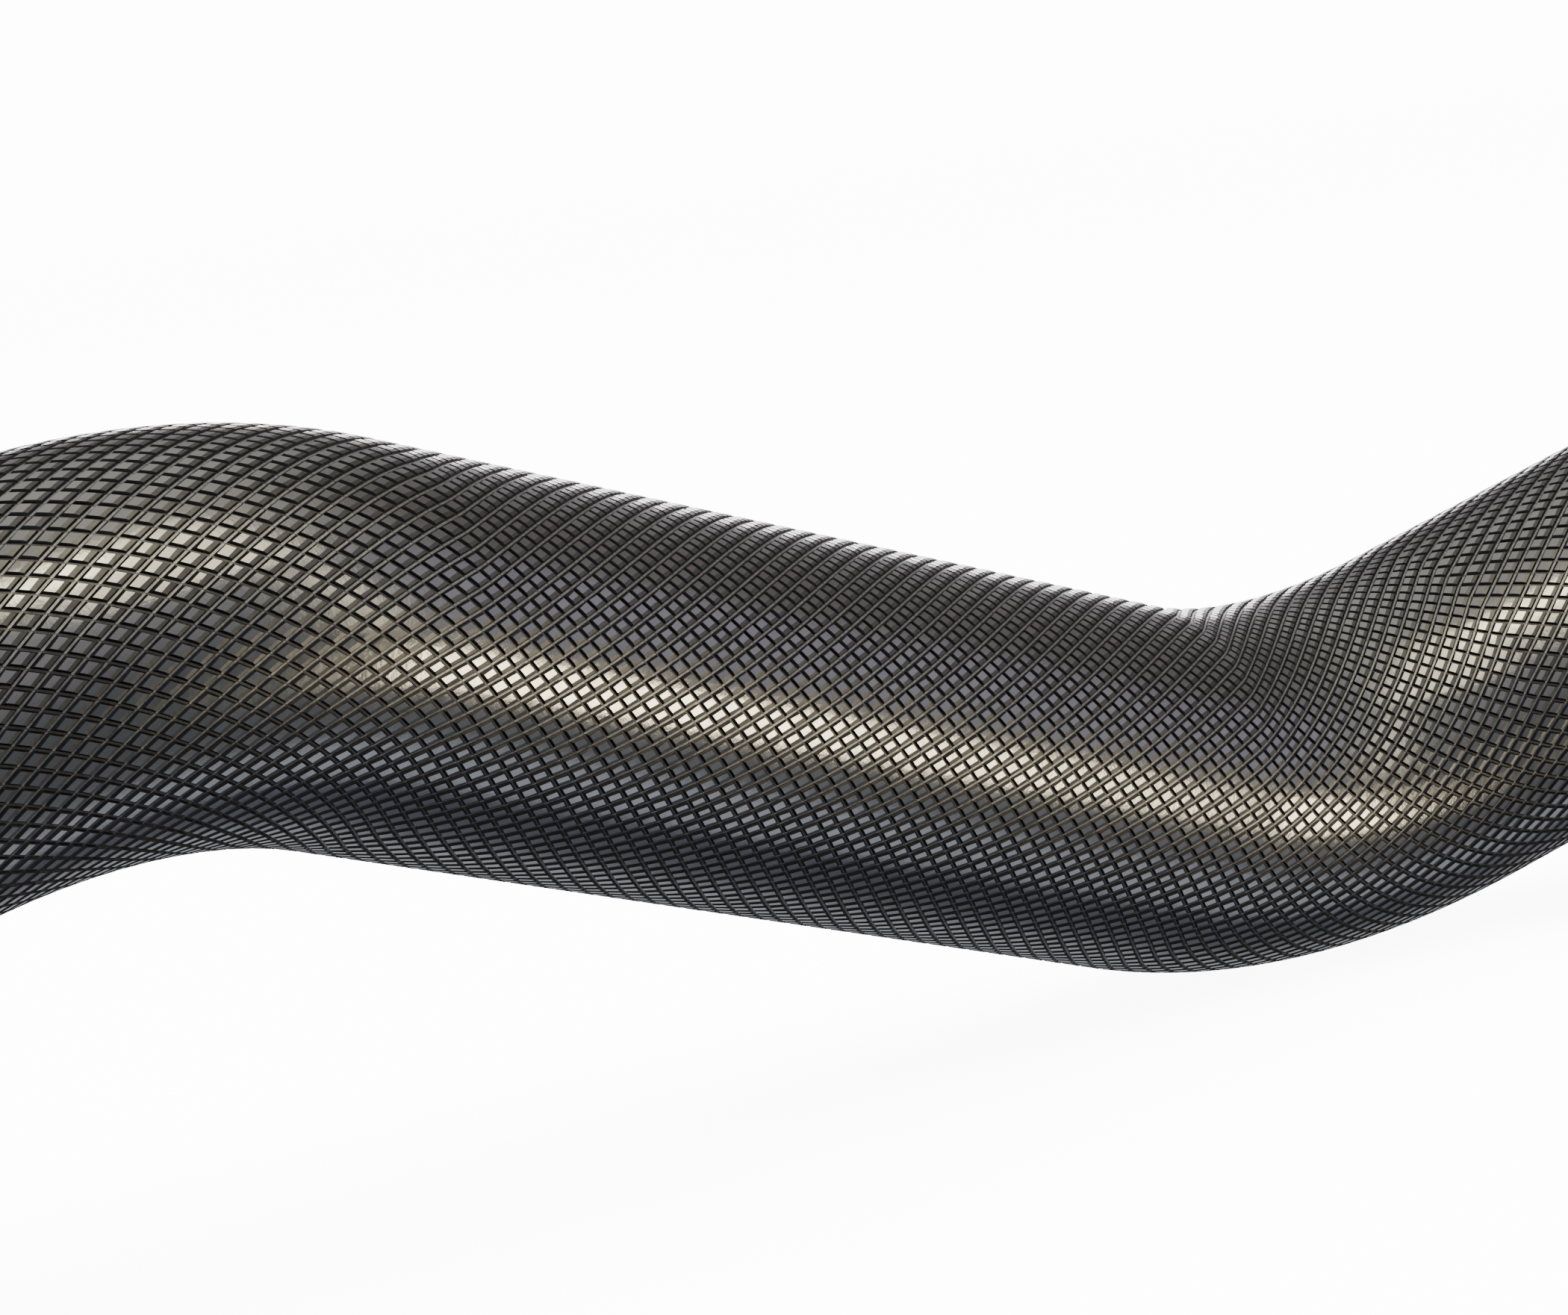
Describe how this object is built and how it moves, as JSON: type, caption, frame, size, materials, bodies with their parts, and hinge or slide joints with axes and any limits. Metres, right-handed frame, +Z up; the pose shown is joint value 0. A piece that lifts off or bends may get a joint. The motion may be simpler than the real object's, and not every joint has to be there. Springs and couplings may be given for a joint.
{
  "type": "curl bar",
  "caption": "Knurled steel bar bent into a W of angled hand grips, with a free-turning sleeve for weight plates on each end.",
  "frame": {"origin": "middle of the bar on the common axis of the two sleeves", "axes": "+X along the sleeve axis towards the right sleeve, +Z up from the floor that the bar lies on, +Y towards the side that the low bends lean to"},
  "size_m": [1.2, 0.084, 0.084],
  "materials": {
    "grip_steel": "knurled, black-nickel tone, worn bright on the crests",
    "turned_steel": "fine turned",
    "washer_steel": "ground",
    "black_steel": "black oxide, oiled",
    "chrome": "bright plated over a turned surface",
    "bronze": "sintered bronze, oil filled",
    "cap_steel": "face turned"
  },
  "bodies": {
    "bar": {"shaft": "grip_steel", "left_stop_ring": "turned_steel", "left_thrust_washer": "washer_steel", "left_end_washer": "washer_steel", "left_end_plate": "washer_steel", "left_lock_washer": "black_steel", "left_end_screw": "black_steel", "right_stop_ring": "turned_steel", "right_thrust_washer": "washer_steel", "right_end_washer": "washer_steel", "right_end_plate": "washer_steel", "right_lock_washer": "black_steel", "right_end_screw": "black_steel"},
    "left_sleeve": {"left_collar": "chrome", "left_sleeve": "chrome", "left_inner_bushing": "bronze", "left_outer_bushing": "bronze", "left_circlip": "black_steel", "left_end_cap": "cap_steel"},
    "right_sleeve": {"right_collar": "chrome", "right_sleeve": "chrome", "right_inner_bushing": "bronze", "right_outer_bushing": "bronze", "right_circlip": "black_steel", "right_end_cap": "cap_steel"}
  },
  "joints": [
    {"name": "left_sleeve_spin", "type": "hinge", "parent": "bar", "child": "left_sleeve", "pos_m": [-0.49, 0, 0], "axis": [1, 0, 0], "continuous": true},
    {"name": "right_sleeve_spin", "type": "hinge", "parent": "bar", "child": "right_sleeve", "pos_m": [0.49, 0, 0], "axis": [1, 0, 0], "continuous": true}
  ]
}
